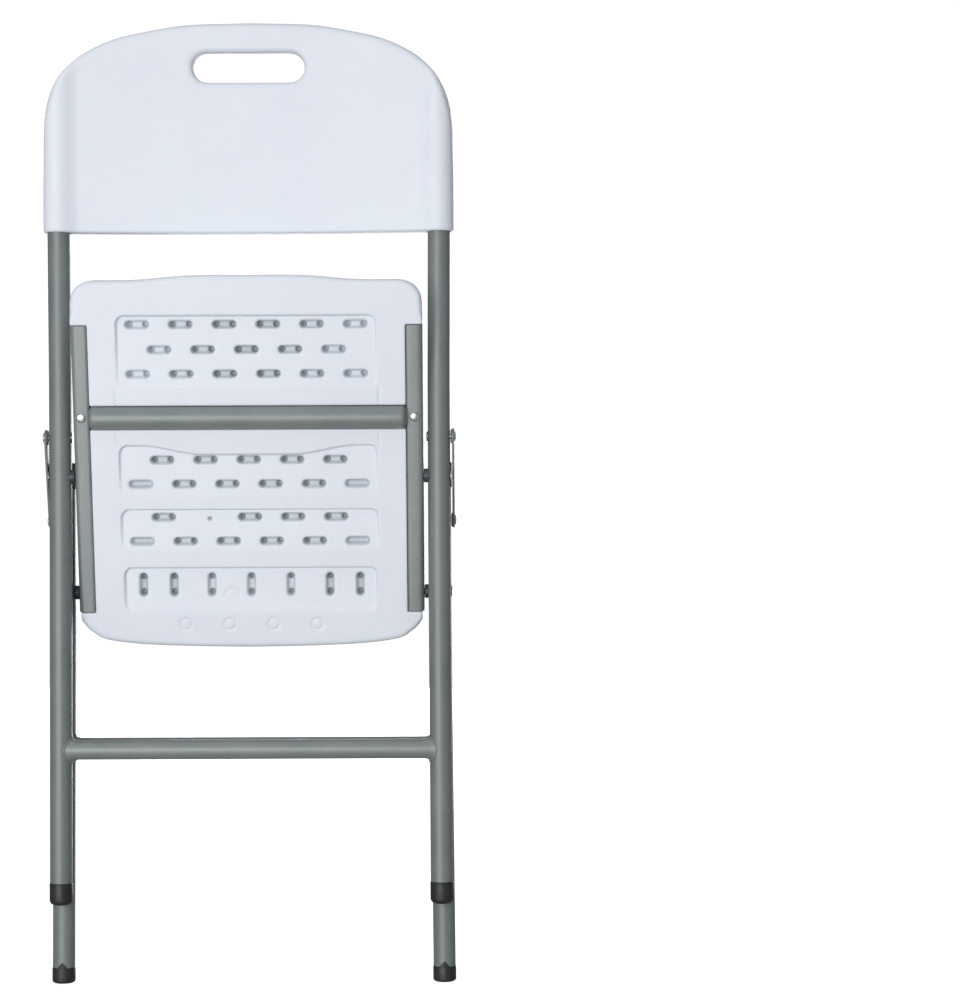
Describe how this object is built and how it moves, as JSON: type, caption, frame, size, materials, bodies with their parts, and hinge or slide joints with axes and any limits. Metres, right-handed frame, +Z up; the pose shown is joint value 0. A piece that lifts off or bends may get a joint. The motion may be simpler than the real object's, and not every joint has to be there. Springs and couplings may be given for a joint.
{
  "type": "folding chair",
  "caption": "Folding chair with a tubular steel frame and blow-moulded plastic seat and back, folded flat; seat, rear legs and side links open together.",
  "frame": {"origin": "centre of the folded chair's bounding box in plan, on the plane of the rear feet's soles", "axes": "+Z up along the folded chair, +X across it, the backrest's front faces -Y"},
  "size_m": [0.4436, 0.0955, 1.0352],
  "materials": {
    "frame_steel": "grey satin powder coat",
    "seat_plastic": "pale blue-white moulded polyethylene, fine matt texture",
    "dark_plastic": "near-black moulded plastic",
    "zinc_steel": "bright zinc plate",
    "nylon": "dark nylon"
  },
  "bodies": {
    "front_frame": {"backrest": "seat_plastic", "backrest_screws": "zinc_steel", "upright_left": "frame_steel", "upright_right": "frame_steel", "front_crossbar": "frame_steel", "front_foot_left": "dark_plastic", "front_foot_right": "dark_plastic", "front_pivot_rivets": "zinc_steel", "front_pivot_spacers": "nylon", "link_upper_rivets": "zinc_steel"},
    "seat": {"seat_panel": "seat_plastic", "seat_rail_left": "frame_steel", "seat_rail_right": "frame_steel", "seat_cross_tube": "frame_steel", "cross_tube_rivets": "zinc_steel"},
    "rear_legs": {"rear_leg_left": "frame_steel", "rear_leg_right": "frame_steel", "rear_crossbar": "frame_steel", "rear_leg_cap_left": "dark_plastic", "rear_leg_cap_right": "dark_plastic", "rear_foot_left": "dark_plastic", "rear_foot_right": "dark_plastic", "rear_pivot_rivets": "zinc_steel", "rear_pivot_spacers": "nylon"},
    "side_links": {"link_plate_left": "frame_steel", "link_plate_right": "frame_steel", "link_lower_rivets": "zinc_steel"}
  },
  "joints": [
    {"name": "seat_fold", "type": "hinge", "parent": "front_frame", "child": "seat", "pos_m": [0, 0, 0.5472], "axis": [1, 0, 0], "range_deg": [0, 98.25]},
    {"name": "rear_leg_fold", "type": "hinge", "parent": "seat", "child": "rear_legs", "pos_m": [0, 0.026, 0.4222], "axis": [1, 0, 0], "range_deg": [-58.6, 0.1]},
    {"name": "link_fold", "type": "hinge", "parent": "front_frame", "child": "side_links", "pos_m": [0, 0, 0.5892], "axis": [1, 0, 0], "range_deg": [-0.1, 114.6]}
  ],
  "couplings": [
    {"joint": "rear_leg_fold", "follows": "seat_fold", "ratio": -0.59568},
    {"joint": "link_fold", "follows": "seat_fold", "ratio": 1.1648}
  ]
}
